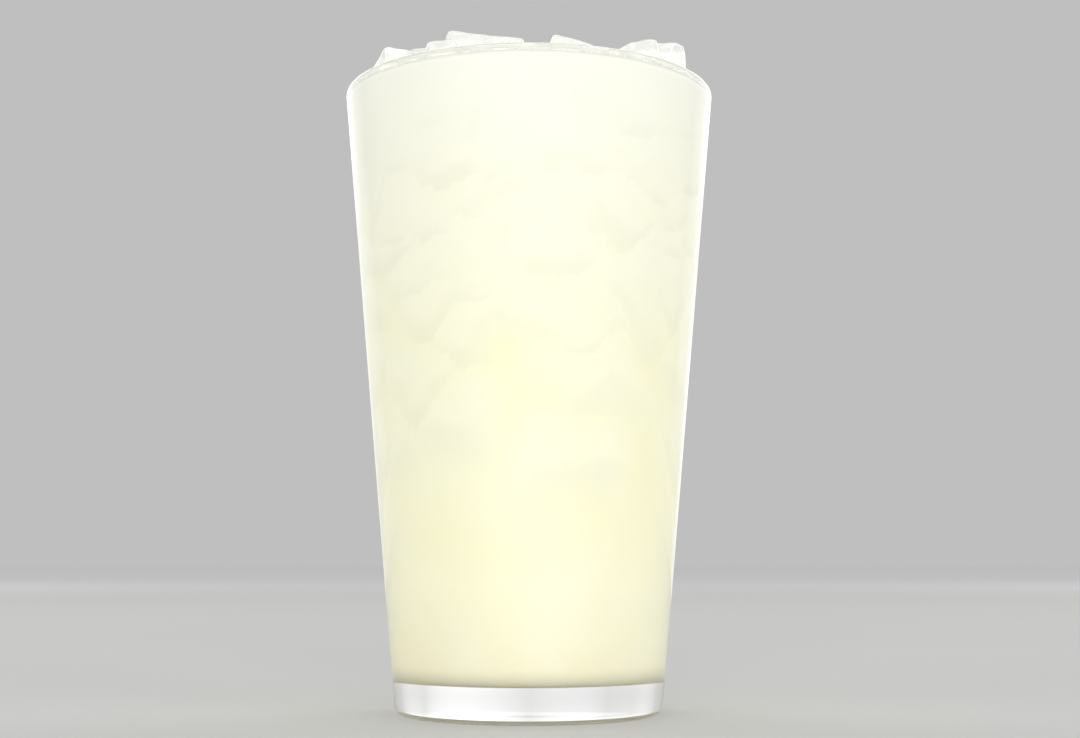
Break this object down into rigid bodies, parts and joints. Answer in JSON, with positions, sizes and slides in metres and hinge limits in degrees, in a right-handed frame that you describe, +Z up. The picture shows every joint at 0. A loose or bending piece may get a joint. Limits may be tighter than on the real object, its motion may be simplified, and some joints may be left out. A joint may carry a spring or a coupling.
{
  "type": "glass of lemonade",
  "caption": "Tapered clear pint tumbler with a thick base, brim-full of pale cloudy lemonade, with cracked ice heaped over its rim; a cold drink that stands on a table.",
  "frame": {"origin": "on the table, at the centre of the tumbler's base", "axes": "+Z up along the tumbler's axis; -Y towards the viewer, the side on which the tallest ice stands; +X to the viewer's right"},
  "size_m": [0.0886, 0.0886, 0.1586],
  "materials": {
    "clear_glass": "polished clear glass",
    "lemonade": "pale cloudy liquid, wet",
    "ice": "wet cracked ice, cloudy inside"
  },
  "bodies": {
    "root": {"glass": "clear_glass", "lemonade": "lemonade", "ice_heap": "ice"}
  },
  "joints": []
}
